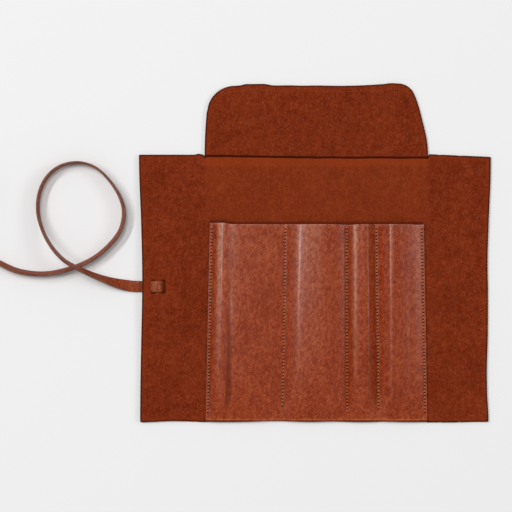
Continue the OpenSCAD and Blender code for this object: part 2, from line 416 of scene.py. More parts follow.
def thread_material():
    """Waxed thread: twisted strands that show as fine slanting ribs."""
    material, tree, shader = new_material("waxed_thread")
    rest = rest_place(tree)
    wave = tree.nodes.new("ShaderNodeTexWave")
    inputs = {"Vector": turned(rest, 38), "Scale": 700, "Distortion": 0.6}
    ribs = linked(wave, "Fac", inputs)
    speck = noise(rest, 800, 2)
    tone = plus(times(ribs, 0.6), times(speck, 0.4))
    colour = ramp(tone, [(0.25, (0.30, 0.090, 0.038)), (0.75, (0.62, 0.270, 0.150))])
    dress(shader, colour, ranged(speck, 0.3, 0.7, 0.45, 0.65), 0.2)
    feed(shader.inputs["Normal"], bump(ribs, 0.00012, 0.6))
    return material


def hole_material():
    """Needle holes: leather fibre in deep shade."""
    material, tree, shader = new_material("needle_hole")
    fibres = noise(rest_place(tree), 1200, 2)
    colour = ramp(fibres, [(0.3, (0.012, 0.0024, 0.001)), (0.7, (0.040, 0.008, 0.003))])
    dress(shader, colour, ranged(fibres, 0.3, 0.7, 0.85, 1.0), 0.1)
    return material


def floor_material():
    material, _, shader = new_material("pale_floor")
    dress(shader, (0.860, 0.860, 0.860, 1), 0.9, 0.0)
    return material


# ---- meshes


def make_object(name, points, faces, materials, slots, normals=None, **floats):
    """points and rest places in millimetres; normals holds one vector for each face corner."""
    mesh = bpy.data.meshes.new(name)
    points = np.asarray(points, float) * MM
    mesh.from_pydata(points.tolist(), [], faces)
    for material in materials:
        mesh.materials.append(material)
    mesh.polygons.foreach_set("material_index", np.asarray(slots, np.int32))
    mesh.polygons.foreach_set("use_smooth", np.full(len(faces), True))
    rest = mesh.attributes.new("rest", "FLOAT_VECTOR", "POINT")
    rest.data.foreach_set("vector", points.astype(np.float32).ravel())
    for key in ("rim", "crease", "worn"):
        plain = np.full(len(points), 1.0 if key == "rim" else 0.0)
        values = np.asarray(floats.get(key, plain), np.float32)
        mesh.attributes.new(key, "FLOAT", "POINT").data.foreach_set("value", values)
    mesh.update()
    if normals is not None:
        mesh.normals_split_custom_set([tuple(n) for n in normals])
    return add_object(name, mesh)


def unit(v):
    """Vectors of the same direction, one long."""
    return v / np.maximum(np.linalg.norm(v, axis=-1, keepdims=True), 1e-9)


def grid_normals(p):
    """Normals of a grid of points, upwards where it lies flat."""
    along_i = np.gradient(p, axis=0)
    along_j = np.gradient(p, axis=1)
    return unit(np.cross(along_i, along_j))


WALL_STEPS = 6
# A cut edge's wall stands out this far halfway up, in millimetres.
EDGE_BULGE = 0.35


def boundary_of(label, piece):
    """The edges round a piece's cells, each with the piece on its left: (a, b, neighbour's label)."""
    ni, nj = label.shape
    found = []
    for i, j in np.argwhere(label == piece):
        sides = (
            ((i, j), (i + 1, j), (i, j - 1)),
            ((i + 1, j), (i + 1, j + 1), (i + 1, j)),
            ((i + 1, j + 1), (i, j + 1), (i, j + 1)),
            ((i, j + 1), (i, j), (i - 1, j)),
        )
        for a, b, (ci, cj) in sides:
            inside = 0 <= ci < ni and 0 <= cj < nj
            other = label[ci, cj] if inside else -1
            if other != piece:
                found.append((a, b, other))
    return found


def slab(name, top, bottom, label, piece, materials, attributes, fans=None):
    """Closed piece of leather over the cells that carry its label. Its walls are rounded
    where the hide is really cut, flat where the next piece carries on, and a fan about
    the fold line where fans gives an angle for that neighbour."""
    fans = fans or {}
    n_top = grid_normals(top)
    n_bottom = -grid_normals(bottom)
    chosen = np.argwhere(label == piece)
    index, points, floats = {}, [], {k: [] for k in attributes}

    def vertex(key, place, ij):
        if key not in index:
            index[key] = len(points)
            points.append(place)
            for k, values in attributes.items():
                floats[k].append(values[ij])
        return index[key]

    faces, slots, normals = [], [], []
    for i, j in chosen:
        corners = [(i, j), (i + 1, j), (i + 1, j + 1), (i, j + 1)]
        faces.append([vertex(("t", c), top[c], c) for c in corners])
        slots.append(0)
        normals += [n_top[c] for c in corners]
    for i, j in chosen:
        corners = [(i, j + 1), (i + 1, j + 1), (i + 1, j), (i, j)]
        faces.append([vertex(("b", c), bottom[c], c) for c in corners])
        slots.append(1)
        normals += [n_bottom[c] for c in corners]

    edges = boundary_of(label, piece)
    outward, kind = {}, {}
    for a, b, other in edges:
        along = top[b] - top[a]
        up = unit(top[a] - bottom[a])
        out = unit(np.cross(along, up))
        rank = 2 if other in fans else (1 if other >= 0 else 0)
        for c in (a, b):
            if rank > kind.get(c, (-1,))[0]:
                kind[c] = (rank, other)
                outward[c] = out.copy()
            elif rank == kind[c][0]:
                outward[c] = outward[c] + out
    walls = {}
    for c, (rank, other) in kind.items():
        out, high, low = unit(outward[c]), top[c], bottom[c]
        up = unit(high - low)
        thick = np.linalg.norm(high - low)
        column = [(high, unit(out + up))]
        for k in range(1, WALL_STEPS):
            s = k / WALL_STEPS
            if rank == 2:
                turn = math.radians(fans[other]) * (1 - (k - 1) / (WALL_STEPS - 1))
                spoke = -up * math.cos(turn) + out * math.sin(turn)
                column.append((high + spoke * thick, spoke))
            else:
                swell, way = 0.0, out
                if rank == 0:
                    swell = EDGE_BULGE * math.sin(math.pi * s)
                    way = unit(out * math.sin(math.pi * s) + up * 0.8 * math.cos(math.pi * s))
                column.append((high + (low - high) * s + out * swell, way))
        column.append((low, unit(out - up) if rank == 0 else -up))
        walls[c] = column
    for a, b, other in edges:
        for k in range(WALL_STEPS):
            quad = [(a, k + 1), (b, k + 1), (b, k), (a, k)]
            ids = []
            for c, level in quad:
                if level == 0:
                    ids.append(index[("t", c)])
                elif level == WALL_STEPS:
                    ids.append(index[("b", c)])
                else:
                    ids.append(vertex((level, c), walls[c][level][0], c))
                normals.append(walls[c][level][1])
            faces.append(ids)
            slots.append(1 if other in fans else 2)
    return make_object(name, points, faces, materials, slots, normals, **floats)


def spaced_line(knots, step):
    """Places between the first and last knot, with every knot among them."""
    out = [knots[0]]
    for a, b in zip(knots, knots[1:]):
        n = max(1, math.ceil((b - a) / step - 1e-6))
        out += [a + (b - a) * (k + 1) / n for k in range(n)]
    return out


# Half the width that bends at a fold between two panels, and how many columns it takes.
FOLD_HALF = 2.0
LEFT_FOLD_HALF = 1.8
FOLD_COLUMNS = 8


def fold_zone(x, half=FOLD_HALF):
    """Column places across the fold at x."""
    return [x - half + 2 * half * k / FOLD_COLUMNS for k in range(FOLD_COLUMNS + 1)]


def rim_of(top, label):
    """Distance of every grid point from the nearest cut edge, in centimetres, up to 1."""
    cut = set()
    for piece in set(label[label >= 0]):
        for a, b, other in boundary_of(label, piece):
            if other < 0:
                cut.update((a, b))
    tree = KDTree(len(cut))
    for n, c in enumerate(sorted(cut)):
        tree.insert(top[c], n)
    tree.balance()
    ni, nj = top.shape[:2]
    return np.array([[min(1.0, tree.find(top[i, j])[2] / 10) for j in range(nj)] for i in range(ni)])


# ---- strap

# The strap's middle line over the floor: x, y, height, and tilt in degrees, 90 on edge.
STRAP_ROUTE = [
    (-157, -29.5, 1.1, 0), (-166, -29, 1.85, 8), (-178, -26.5, 4.3, 40),
    (-190, -22.5, 8.8, 62), (-203, -17, 14, 74), (-215.5, -11, 16.4, 80),
    (-226, -4, 15.4, 85), (-236, 7, 12, 88), (-244, 21, 8, 90),
    (-248.5, 37, 5.6, 90), (-247.5, 54, 5.1, 90), (-240.5, 69, 5.1, 90),
    (-228, 79, 5.1, 90), (-212, 82, 5.1, 90), (-197, 77.5, 5.1, 89),
    (-185, 66.5, 5.1, 86), (-175.5, 52, 5.2, 80), (-171.5, 38, 5.2, 75),
    (-174, 22.5, 5.2, 72), (-182.5, 10, 5.2, 72), (-195, -1.5, 5.2, 72),
    (-209, -9.5, 5.2, 72), (-225, -15, 5.2, 72), (-241, -18, 5.2, 72),
    (-256, -17.5, 5.2, 72), (-270, -14.5, 5.2, 72), (-284, -8, 5.2, 74),
    (-298, -0.5, 5.2, 80), (-312, 7.5, 5.1, 86), (-327, 16, 5.1, 90),
    (-341.5, 24.5, 5.1, 90),
]
ON_EDGE = (5.1, 90)
COIL_CENTRE = (-325.0, 54.0)
COIL_TURNS = 1.75
COIL_PITCH = 5.0
ROUTE_STEPS = 8
COIL_STEPS = 64


def curve_through(points, steps):
    """Catmull-Rom curve through rows of numbers."""
    p = np.array(points, float)
    out = []
    for i in range(len(p) - 1):
        a, b, c, d = p[max(i - 1, 0)], p[i], p[i + 1], p[min(i + 2, len(p) - 1)]
        for k in range(steps):
            u = k / steps
            second, third = 2 * a - 5 * b + 4 * c - d, 3 * b - a - 3 * c + d
            out.append(0.5 * (2 * b + (c - a) * u + second * u**2 + third * u**3))
    out.append(p[-1])
    return np.array(out)


def coil_rows():
    """The strap's last turns, wound inwards on edge."""
    x, y = STRAP_ROUTE[-1][0] - COIL_CENTRE[0], STRAP_ROUTE[-1][1] - COIL_CENTRE[1]
    start, radius = math.atan2(y, x), math.hypot(x, y)
    rows = []
    for k in range(1, round(COIL_TURNS * COIL_STEPS) + 1):
        turn = k / COIL_STEPS
        angle, r = start - 2 * math.pi * turn, radius - COIL_PITCH * turn
        x, y = COIL_CENTRE[0] + r * math.cos(angle), COIL_CENTRE[1] + r * math.sin(angle)
        rows.append((x, y, *ON_EDGE))
    return rows


def strap_section():
    """The strap's outline, from its left edge across the face to its right edge, and back."""
    w, t = STRAP_W / 2, STRAP_T / 2
    face = [(w, 0.42 * t), (w - 0.22, 0.80 * t), (w - 0.75, 0.98 * t), (w * 0.45, t), (0, t)]
    face += [(-u, v) for u, v in reversed(face[:-1])]
    return np.array(face + [(-u, -v) for u, v in face])


def strap_faces(count, n):
    """Faces and slots along count outlines of n points: grain above, flesh below and cut edges."""
    half = n // 2
    faces, slots = [], []
    for r in range(count - 1):
        for k in range(n):
            a, b = r * n + k, r * n + (k + 1) % n
            faces.append([a, b, b + n, a + n])
            on_edge = k % half in (0, half - 1, half - 2)
            slots.append(2 if on_edge else (0 if k < half else 1))
    faces += [[n - 1 - k for k in range(n)], [(count - 1) * n + k for k in range(n)]]
    return faces, slots + [2, 2]


def strap_points(rows, headings, section):
    """The strap's outline at each row of x, y, z and tilt."""
    points = []
    for row, h in zip(rows, headings):
        left = unit(np.cross(UP, h))
        normal = np.cross(h, left)
        c, s = math.cos(math.radians(row[3])), math.sin(math.radians(row[3]))
        wide, thick = c * left + s * normal, c * normal - s * left
        points += [row[:3] + u * wide + v * thick for u, v in section]
    return points


def flat_headings(rows):
    """Level direction of the strap at each row."""
    d = np.gradient(rows[:, :3], axis=0)
    d[:, 2] = 0
    return unit(d)


def build_strap(materials):
    route = curve_through(STRAP_ROUTE, ROUTE_STEPS)
    rows = np.vstack([route, np.array(coil_rows())])
    section = strap_section()
    points = strap_points(rows, flat_headings(rows), section)
    faces, slots = strap_faces(len(rows), len(section))
    strap = make_object("strap", points, faces, materials, slots)
    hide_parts("strap_free_run", "strap_coil")
    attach(strap, "left_outer")


SPADE_LENGTH = 16.1
# The spade's width as a share of the strap's, by the distance from its tip.
SPADE_WIDTHS = [(0, 0.12), (0.6, 0.35), (3, 0.75), (7, 1.45), (11.5, 1.0), (30, 1.0)]
WOVEN_STEPS = 4


def build_woven_end(materials):
    """The strap's end: a spade under the wing, up through one slit, down through the other."""
    left, right = SLIT_X
    low, high = STRAP_T / 2, WING_LIFT + LEATHER + STRAP_T / 2 + 0.05
    tip = right + SPADE_LENGTH
    side = [(tip, low), (right + 12, low), (right + 8, low), (right + 4.2, low)]
    side += [(right + 2.2, low + 0.25), (right + 0.7, low + 1.3), (right - 0.6, high - 1.1)]
    side += [(right - 1.9, high - 0.15), (right - 3.4, high + 0.15), ((left + right) / 2, high + 0.22)]
    side += [(left + 3.4, high + 0.15), (left + 1.9, high - 0.15), (left + 0.6, high - 1.1)]
    side += [(left - 0.7, low + 1.3), (left - 2.2, low + 0.25), (left - 4.2, low), (left - 7, low)]
    side += [(-HALF_WIDTH, low)]
    line = curve_through([(x, SLIT_Y, z, 0) for x, z in side], WOVEN_STEPS)
    tangent = unit(np.gradient(line[:, :3], axis=0))
    spade = np.interp(tip - line[:, 0], *zip(*SPADE_WIDTHS))
    section = strap_section()
    across = np.array([0.0, -1.0, 0.0])
    points = []
    for row, t, w in zip(line, tangent, spade):
        normal = unit(np.cross(across, t)) * -1
        if normal[2] < 0 and abs(t[2]) < 0.9:
            normal = -normal
        points += [row[:3] + u * w * across + v * normal for u, v in section]
    faces, slots = strap_faces(len(line), len(section))
    # Paler where the strap arches highest over the wing: wear and a painted highlight on the bridge.
    worn = np.repeat(smooth(high - 0.6, high + 0.2, line[:, 2]), len(section)) * 0.12
    piece = make_object("strap_woven", points, faces, materials, slots, worn=worn)
    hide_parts("strap_woven_end")
    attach(piece, "left_outer")


# ---- back of the hide

# The hide is cut into pieces halfway between its folds.
LEFT_WING_MID = -107.1
RIGHT_WING_MIDS = [112.8, 130.5]
CUTS = [LEFT_WING_MID, *PANEL_MIDS, *RIGHT_WING_MIDS]
# Pieces of the back: name, the bodies on both sides of its fold, the fold, and what it stands for.
BACK_PIECES = [
    ("left_outer", "left_outer", "left_inner", LEFT_FOLD, ["left_wing_outer"]),
    ("left_inner", "left_inner", "panel_1", FOLD_LINES[0], ["left_wing_inner", "back_panel_1"]),
    ("back_1_2", "panel_1", "panel_2", FOLD_LINES[1], ["back_panel_1", "back_panel_2"]),
    ("back_2_3", "panel_2", "panel_3", FOLD_LINES[2], ["back_panel_2", "back_panel_3"]),
    ("back_3_4", "panel_3", "panel_4", FOLD_LINES[3], ["back_panel_3", "back_panel_4"]),
    ("right_inner", "panel_4", "right_inner", RIGHT_FOLDS[0], ["back_panel_4", "right_wing_inner"]),
    ("right_middle", "right_inner", "right_middle", RIGHT_FOLDS[1],
     ["right_wing_inner", "right_wing_middle"]),
    ("right_outer", "right_middle", "right_outer", RIGHT_FOLDS[2],
     ["right_wing_middle", "right_wing_outer"]),
]
# The flap's pieces carry labels from here on.
FLAP_FIRST = 20
SLIT_HALF = 1.35
SLIT_REACH = 5.5
RETURN_Y = -147.0
FLAP_FOOT = 81.0
FRONT_LEFT = -98.1
FRONT_RIGHT = 101.65
# Beyond these columns the grid is drawn in to follow the flap's rounded corners.
LEFT_MAP, RIGHT_MAP = -60.0, 64.0
# How far a flap panel's fan reaches under the next panel, in degrees.
FLAP_TURN = {0: 85, 1: 75, 2: 75}
# The left wing comes down from the strap's end here, on its way to its fold.
WING_DOWN = -121.2
WING_DOWN_COLUMNS = (-121.05, -118.5)
CREASE_ROWS = [85.2, 86.0, 86.5, 86.8, CREASE_Y, 87.2, 87.5, 88.0, 88.8, 90.0, 92.0, 95.0]
COLUMN_STEP = 2.6
ROW_STEP = 3.1
CORNER_STEP = 6
SWAY_FROM = 108


def flap_left(y):
    """The flap's left side at height y."""
    return np.where(
        y <= FLAP_LEFT_C[1],
        FLAP_LEFT - 0.6 + 1.9 * ((y - CREASE_Y) / (FLAP_LEFT_C[1] - CREASE_Y)) ** 2,
        FLAP_LEFT_C[0] - np.sqrt(np.maximum(FLAP_LEFT_R**2 - (y - FLAP_LEFT_C[1]) ** 2, 0)),
    )


def flap_right(y):
    """The flap's right side at height y."""
    bow = FLAP_RIGHT - FLAP_BOW_R + np.sqrt(FLAP_BOW_R**2 - (y - CREASE_Y) ** 2)
    bow = bow - 0.9 * bell(y, 119, 13)
    corner = FLAP_RIGHT_C[0] + np.sqrt(np.maximum(FLAP_RIGHT_R**2 - (y - FLAP_RIGHT_C[1]) ** 2, 0))
    return np.where(y <= FLAP_BOW_TOP, bow, corner)


# Waves of the lowest edge: place, half width and height.
BOTTOM_WAVES = [(-126, 22, 1.3), (-36, 22, 1.0), (16, 13, 0.6), (64, 10, 0.45), (150, 18, 0.6)]


def bottom_wave(x, y):
    """How far the lowest edge wanders up at x, fading out above it."""
    rise = sum(high * bell(x, at, half) for at, half, high in BOTTOM_WAVES) - 0.15
    return rise * (1 - smooth(FOLD_Y + 2.5, FOLD_Y + 18, y))


def back_places():
    """Column and row places of the hide's back, wings and flap."""
    xs = [-HALF_WIDTH]
    for s in SLIT_X:
        xs += [s - SLIT_HALF, s + SLIT_HALF]
    xs += [*WING_DOWN_COLUMNS, *fold_zone(LEFT_FOLD, LEFT_FOLD_HALF), LEFT_WING_MID]
    xs += [*fold_zone(FOLD_LINES[0])[:-1], FLAP_LEFT, PANEL_MIDS[0]]
    for n in (1, 2, 3):
        xs += [*fold_zone(FOLD_LINES[n]), PANEL_MIDS[n]]
    xs += [FRONT_RIGHT, FLAP_RIGHT, *fold_zone(RIGHT_FOLDS[0])[1:], *RIGHT_WING_MIDS]
    xs += [*fold_zone(RIGHT_FOLDS[1]), *fold_zone(RIGHT_FOLDS[2]), HALF_WIDTH]
    xs = sorted(set(xs + [LEFT_MAP, RIGHT_MAP]))
    ys = [FOLD_Y, RETURN_Y, SLIT_Y - SLIT_REACH, SLIT_Y + SLIT_REACH, FLAP_FOOT]
    ys += [*CREASE_ROWS, FLAP_LEFT_C[1]]
    xs, ys = spaced_line(xs, COLUMN_STEP), spaced_line(ys, ROW_STEP)
    turns = [math.radians(a) for a in range(CORNER_STEP, 91, CORNER_STEP)]
    arc = [FLAP_LEFT_C[1] + FLAP_LEFT_R * math.sin(turn) for turn in turns]
    return np.array(xs), np.array(ys + arc)


def wing_lift(x, y):
    """How high the left wing stands over the strap's end, most of all at the slits."""
    over = 1 - smooth(WING_DOWN, LEFT_FOLD - 0.15, x)
    return WING_LIFT * over * (0.30 + 0.70 * bell(y, SLIT_Y, 44))


def ripple(x, y):
    """Gentle unevenness of the loose leather, none where the pockets lie on it."""
    loose = np.maximum.reduce([smooth(34, 60, y), smooth(106, 125, x), 1 - smooth(-124, -104, x)])
    waves = np.sin(x / 21 + 1.3) * np.sin(y / 27 + 0.4) + 0.6 * np.sin(x / 11 - y / 16)
    return loose * 0.16 * (waves + 1.6)


def wing_sway(y):
    """How far the left and the right wing's outer edge wander sideways at height y."""
    up = (y - FOLD_Y) / (CREASE_Y - FOLD_Y)
    share = np.clip(up, 0, 1)
    left = 0.25 - 1.1 * smooth(0.75, 1.0, up) + 1.2 * np.sin(np.pi * share) ** 2
    left = left + 0.8 * bell(up, 0.55, 0.2)
    right = -0.3 + 2.1 * share - 1.3 * (smooth(0.0, 0.12, up) - smooth(0.74, 0.95, up))
    right = right - 0.9 * bell(up, 0.62, 0.1) - 0.65 * bell(up, 0.2, 0.08)
    return left, right


def wing_top(x):
    """How far the wings' upper edges rise over the flap's fold line at x."""
    left = 2.0 * (1 - smooth(-100.4, -98.6, x)) + 1.0 * bell(x, -104.5, 3)
    right = 2.6 * (1 - (x - FLAP_RIGHT) / 57) * smooth(102.3, 103.8, x)
    return np.where(x < FLAP_LEFT, left, np.where(x > FLAP_RIGHT, right, 0))


def flap_top(x, y):
    """How far the flap's upper edge wanders up at x, fading out below it."""
    hump = 1.6 * (smooth(-84, -62, x) - smooth(-47, -36, x))
    hump = hump + 0.4 * bell(x, -22, 8) + 2.1 * smooth(38, 74, x)
    return smooth(120, 151, y) * (0.15 * np.sin(x / 6.5 + 1.2) - 0.35 + hump)


def back_surface():
    """Upper and lower surface of the hide's back, wings and flap."""
    xs, ys = back_places()
    x, y = np.meshgrid(xs, ys, indexing="ij")
    on_flap, below_flap = y > CREASE_Y, y <= CREASE_Y + 0.01
    left_share = np.clip((LEFT_MAP - x) / (LEFT_MAP - FLAP_LEFT), 0, None)
    right_share = np.clip((x - RIGHT_MAP) / (FLAP_RIGHT - RIGHT_MAP), 0, None)
    px = np.where(on_flap & (x < LEFT_MAP), LEFT_MAP - left_share * (LEFT_MAP - flap_left(y)), x)
    px = np.where(on_flap & (x > RIGHT_MAP), RIGHT_MAP + right_share * (flap_right(y) - RIGHT_MAP), px)
    left_sway, right_sway = wing_sway(y)
    px = px + np.where(below_flap, left_sway * (1 - smooth(-HALF_WIDTH, -SWAY_FROM, x)) ** 1.5, 0)
    px = px + np.where(below_flap, right_sway * smooth(SWAY_FROM, HALF_WIDTH, x) ** 1.5, 0)
    py = y + np.where(below_flap, wing_top(x) * smooth(60, CREASE_Y, y), 0)
    py = py + flap_top(x, y) + bottom_wave(x, y)
    lift = wing_lift(x, y) + ripple(x, y)
    fold_y = CREASE_Y - 0.15 - CREASE_LEAN * np.minimum(x, CREASE_LEAN_END)
    groove = 0.7 * bell(y, fold_y, 0.8) * ((x > FLAP_LEFT - 1) & (x < FLAP_RIGHT + 1))
    top = np.stack([px, py, LEATHER + lift - groove], axis=2)
    bottom = np.stack([px, py, lift], axis=2)
    return xs, ys, top, bottom


def back_labels(xs, ys):
    """Which piece each cell of the grid belongs to, or -1."""
    cx, cy = (xs[1:] + xs[:-1]) / 2, (ys[1:] + ys[:-1]) / 2
    x, y = np.meshgrid(cx, cy, indexing="ij")
    label = np.searchsorted(CUTS, x).astype(int)
    on_flap = (x > FLAP_LEFT) & (x < FLAP_RIGHT)
    flap = FLAP_FIRST + np.searchsorted(FOLD_LINES[1:4], x)
    label = np.where(on_flap & (y > FLAP_FOOT), flap, label)
    label[~on_flap & (y > CREASE_Y)] = -1
    label[(x > FRONT_LEFT) & (x < FRONT_RIGHT) & (y < RETURN_Y)] = -1
    for s in SLIT_X:
        label[(abs(x - s) < SLIT_HALF) & (abs(y - SLIT_Y) < SLIT_REACH)] = -1
    return label


def build_back(materials):
    xs, ys, top, bottom = back_surface()
    label = back_labels(xs, ys)
    crease = ((xs > FLAP_LEFT - 0.5) & (xs < FLAP_RIGHT + 0.5)).astype(float)[:, None] * np.ones(len(ys))
    attributes = {"rim": rim_of(top, label), "crease": crease}
    for n, (name, a, b, line, nodes) in enumerate(BACK_PIECES):
        piece = slab(f"hide_{name}", top, bottom, label, n, materials, attributes)
        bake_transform(piece)
        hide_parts(*nodes)
    for n in range(4):
        fans = {FLAP_FIRST + n - 1: FLAP_TURN.get(n - 1, 0), FLAP_FIRST + n + 1: FLAP_TURN.get(n, 0)}
        piece = slab(f"hide_flap_{n + 1}", top, bottom, label, FLAP_FIRST + n, materials, attributes, fans)
        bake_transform(piece)
        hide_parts(f"flap_panel_{n + 1}")


# ---- pocket front

FOLD_DEPTH = 2.5
TURN_ROWS = 10
# Flat leather on both sides of a seam, and beyond the outermost ones.
LAND = 1.0
SIDE_LAND = 2
LAND_COLUMNS = 4
# Each pocket's columns, from its left side to its middle and on to its right side.
POCKET_COLUMNS = [(26, 24), (25, 22), (14, 15), (19, 15)]
# How strongly the columns crowd together at a pocket's sides.
CROWDING = 0.35
# Where each pocket's leather stops rising on its left and starts falling on its right, from its seams.
LEFT_RUN = [12.0, 20.0, 7.0, 14.5]
RIGHT_RUN = [46.0, 38.0, 9.0, 24.0]
# Towards the bottom fold the runs shorten to these, apart from a share of what they were.
LEFT_SHORT = 3
RIGHT_SHORT = 4
SHARE_AT_FOLD = 0.35
LEFT_SHARP = [0.8, 1.0, 0.9, 1.1]
# How much of a bow the right-hand falls of the two narrow pockets have.
RIGHT_BOW = [1.0, 0.1]
# Dips between the things that a pocket holds, each darkened with painted shade: pocket, x, depth, half
# width, lowest and highest y, and lean.
DIPS = [
    (0, -77.6, 3.0, 2.3, -147, -16, 0), (0, -77.6, 0.8, 2.3, -60, 40, 0), (0, -66.5, 0.25, 2.8, -150, 30, 0),
    (0, -52.0, 0.30, 3.2, -150, 5, 0), (1, 3.5, 0.25, 2.8, -150, 0, 0), (2, 40.4, 0.8, 1.6, -90, 40, 0),
    (2, 50.5, 0.9, 3.2, -147, 40, 0), (3, 64.5, 0.7, 1.8, -120, 40, 0), (3, 67.5, 1.3, 1.5, -150, -95, 0.14),
    (3, 86.0, 0.22, 2.8, -150, 12, 0),
]


def front_knots(y):
    """Places across the front at y: its sides, and each pocket's foot, middle and foot."""
    out = [seam_x(0, y) - SIDE_LAND]
    for n in range(4):
        out += [seam_x(n, y) + LAND, PANEL_MIDS[n], seam_x(n + 1, y) - LAND]
    return out + [seam_x(4, y) + SIDE_LAND]


def front_columns():
    """Interval, share along it and pocket of every column."""
    columns = [(0, k / LAND_COLUMNS, -1) for k in range(LAND_COLUMNS + 1)]
    for n, (left, right) in enumerate(POCKET_COLUMNS):
        for k in range(1, left + 1):
            u = k / left
            share = CROWDING * (1 - math.cos(math.pi / 2 * u)) + (1 - CROWDING) * u
            columns.append((3 * n + 1, share, n))
        for k in range(1, right + 1):
            u = k / right
            share = CROWDING * math.sin(math.pi / 2 * u) + (1 - CROWDING) * u
            columns.append((3 * n + 2, share, n))
        columns += [(3 * n + 3, k / LAND_COLUMNS, -1) for k in range(1, LAND_COLUMNS + 1)]
    return columns


def front_height(n, x, y, x1, x2):
    """Height of pocket n between x1 and x2 over the land round it, and the painted shade in its dips: a
    quick rise on the left and a long fall to the right."""
    near_fold = smooth(FOLD_Y + FOLD_DEPTH - 1, FOLD_Y + 24, y)
    rise = FOLD_RISE + (POCKET_H - FOLD_RISE) * near_fold
    wide = SHARE_AT_FOLD + (1 - SHARE_AT_FOLD) * near_fold
    run_left = LEFT_SHORT + (LEFT_RUN[n] - LEFT_SHORT) * wide
    run_right = RIGHT_SHORT + (RIGHT_RUN[n] - RIGHT_SHORT) * wide
    left = math.sin(math.pi / 2 * min(max((x - x1) / run_left, 0), 1)) ** LEFT_SHARP[n]
    right = min(max((x2 - x) / run_right, 0), 1)
    if n < 2:
        right = 1 - (1 - right) ** 2
    else:
        bowed = RIGHT_BOW[n - 2]
        right = math.sin(math.pi / 2 * right) * bowed + right * (1 - bowed)
    height = rise * left * right
    dark = 0.0
    for pocket, at, depth, half, low, high, lean in DIPS:
        if pocket == n:
            window = smooth(low, low + 18, y) * (1 - smooth(high - 30, high, y))
            share = near_fold * window * bell(x - lean * (high - y), at, half)
            height -= depth * share
            # Painted shade in the dip, full where it is two millimetres deep or more.
            dark += min(depth, 2.0) / 2 * share
    return max(height, 0.0), dark


def mouth_wave(x):
    """How far the mouths' edge lies from a straight line at x."""
    rise = 0.5 - 1.25 * smooth(-82, -74, x)
    return rise - 0.5 * bell(x, 32, 6) - 0.4 * bell(x, 93, 5)


def front_row(xs, y, z):
    """A row of points across the front, where y and z are single numbers or a number for each point."""
    return np.stack(np.broadcast_arrays(xs, y, z), axis=1)


def front_surface():
    """Outer and inner surface of the front, from its mouth down and round the fold."""
    columns = front_columns()
    straight = spaced_line([MOUTH_Y, MOUTH_Y - 1.2, MOUTH_Y - 3.6, FOLD_Y + 26, FOLD_Y + FOLD_DEPTH], 2.6)
    rows = [(y, None) for y in straight]
    rows += [(FOLD_Y + FOLD_DEPTH, math.pi * k / TURN_ROWS) for k in range(1, TURN_ROWS + 1)]
    rows += [(RETURN_Y, "end")]
    ni, nj = len(columns), len(rows)
    outer, inner, folds = np.zeros((ni, nj, 3)), np.zeros((ni, nj, 3)), np.zeros((ni, nj))
    for j, (y, phase) in enumerate(rows):
        at = FOLD_Y + FOLD_DEPTH if phase is not None else y
        knots = front_knots(at)
        places = [knots[k] + (knots[k + 1] - knots[k]) * s for k, s, _ in columns]
        shape = [
            front_height(n, x, at, knots[3 * n + 1], knots[3 * n + 3]) if n >= 0 else (0.0, 0.0)
            for x, (_, _, n) in zip(places, columns)
        ]
        xs = np.array(places)
        z = LAND_Z + np.array([height for height, _ in shape])
        folds[:, j] = [dark for _, dark in shape]
        slope = np.gradient(z, xs)
        under = np.maximum(z - LEATHER * np.minimum(np.sqrt(1 + slope**2), 1.6), LEATHER)
        if phase is None:
            outer[:, j], inner[:, j] = front_row(xs, y, z), front_row(xs, y, under)
            wave = bottom_wave(xs, y) + mouth_wave(xs) * smooth(MOUTH_Y - 18, MOUTH_Y, y)
        elif phase == "end":
            outer[:, j], inner[:, j] = front_row(xs, RETURN_Y, 0.0), front_row(xs, RETURN_Y, LEATHER)
            wave = bottom_wave(xs, RETURN_Y)
        else:
            s, c = math.sin(phase), math.cos(phase)
            gap = np.maximum(z / 2 - LEATHER, 0.0)
            outer[:, j] = front_row(xs, at - FOLD_DEPTH * s, z / 2 * (1 + c))
            inner[:, j] = front_row(xs, at - (FOLD_DEPTH - LEATHER) * s, z / 2 + gap * c)
            wave = bottom_wave(xs, FOLD_Y)
        outer[:, j, 1] += wave
        inner[:, j, 1] += wave
    return columns, outer, inner, folds


# Painted highlights and sheen, pale patches mostly at the mouths and along the pockets' ridges: x, y, half
# width, half height and strength.
PAINTED_HIGHLIGHTS = [
    (-84.6, 24, 2.2, 6, 0.85), (-85.2, 8, 0.9, 10, 0.95), (-84.0, -22, 0.9, 28, 0.62),
    (-83.4, -95, 1.4, 36, 0.08), (-74, 19, 6, 10, 0.22), (-54, 5, 20, 26, 0.10),
    (-16.2, -8, 1.5, 10, 0.62), (-13, 19, 4.5, 8, 0.44), (-2.5, 0, 10, 28, 0.62),
    (-17.2, -42, 1.6, 28, 0.20), (36.2, 23, 2.2, 8, 0.72), (36.6, -4, 1.6, 20, 0.10),
    (44.8, 5, 1.7, 26, 0.05), (68.3, 16, 1.1, 16, 0.60), (67.6, -30, 1.2, 30, 0.16),
    (93.0, 20, 4.0, 8, 0.26),
]


# Pieces of the front: where its flat width starts and stops, and what it stands for.
FRONT_PIECES = [
    (-97, PANEL_MIDS[1], ["pocket_front_1"]),
    (PANEL_MIDS[1], PANEL_MIDS[2], ["pocket_front_2", "pocket_front_3"]),
    (PANEL_MIDS[2], 100.5, ["pocket_front_4"]),
]


